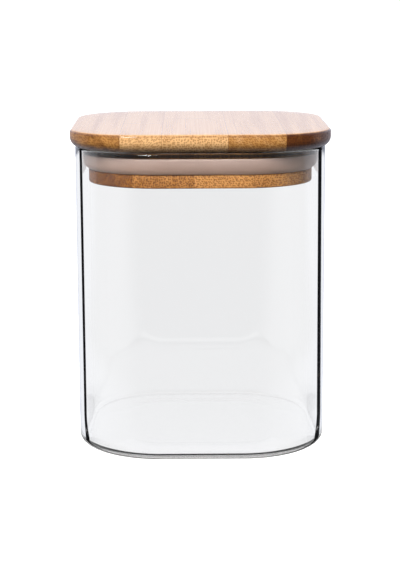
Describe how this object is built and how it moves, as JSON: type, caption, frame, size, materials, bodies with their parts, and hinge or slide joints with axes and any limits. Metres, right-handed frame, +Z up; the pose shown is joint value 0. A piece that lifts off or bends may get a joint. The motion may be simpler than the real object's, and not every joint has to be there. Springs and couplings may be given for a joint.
{
  "type": "glass storage jar",
  "caption": "Square glass storage jar with rounded corners, a lift-off lid of glued bamboo strips with a plug, and a flared silicone seal round the plug.",
  "frame": {"origin": "middle of the base, on the surface that the jar stands on", "axes": "+Z up along the jar's height and the way the lid lifts, front towards -Y, width along X, flat sides square to X and Y"},
  "size_m": [0.103, 0.103, 0.1288],
  "materials": {
    "clear_glass": "clear, polished",
    "board_bamboo": "bamboo, thin satin lacquer",
    "plug_bamboo": "bamboo end grain, oiled",
    "seal_silicone": "translucent grey-pink silicone, satin"
  },
  "bodies": {
    "jar": {"glass_body": "clear_glass"},
    "lid": {"lid_board_strip_1": "board_bamboo", "lid_board_strip_2": "board_bamboo", "lid_board_strip_3": "board_bamboo", "lid_board_strip_4": "board_bamboo", "lid_board_strip_5": "board_bamboo", "lid_plug_strip_1": "plug_bamboo", "lid_plug_strip_2": "plug_bamboo", "lid_plug_strip_3": "plug_bamboo", "lid_plug_strip_4": "plug_bamboo", "silicone_seal": "seal_silicone"}
  },
  "joints": [
    {"name": "lid_lift", "type": "slide", "parent": "jar", "child": "lid", "axis": [0, 0, 1], "range_m": [0, 0.12]}
  ]
}
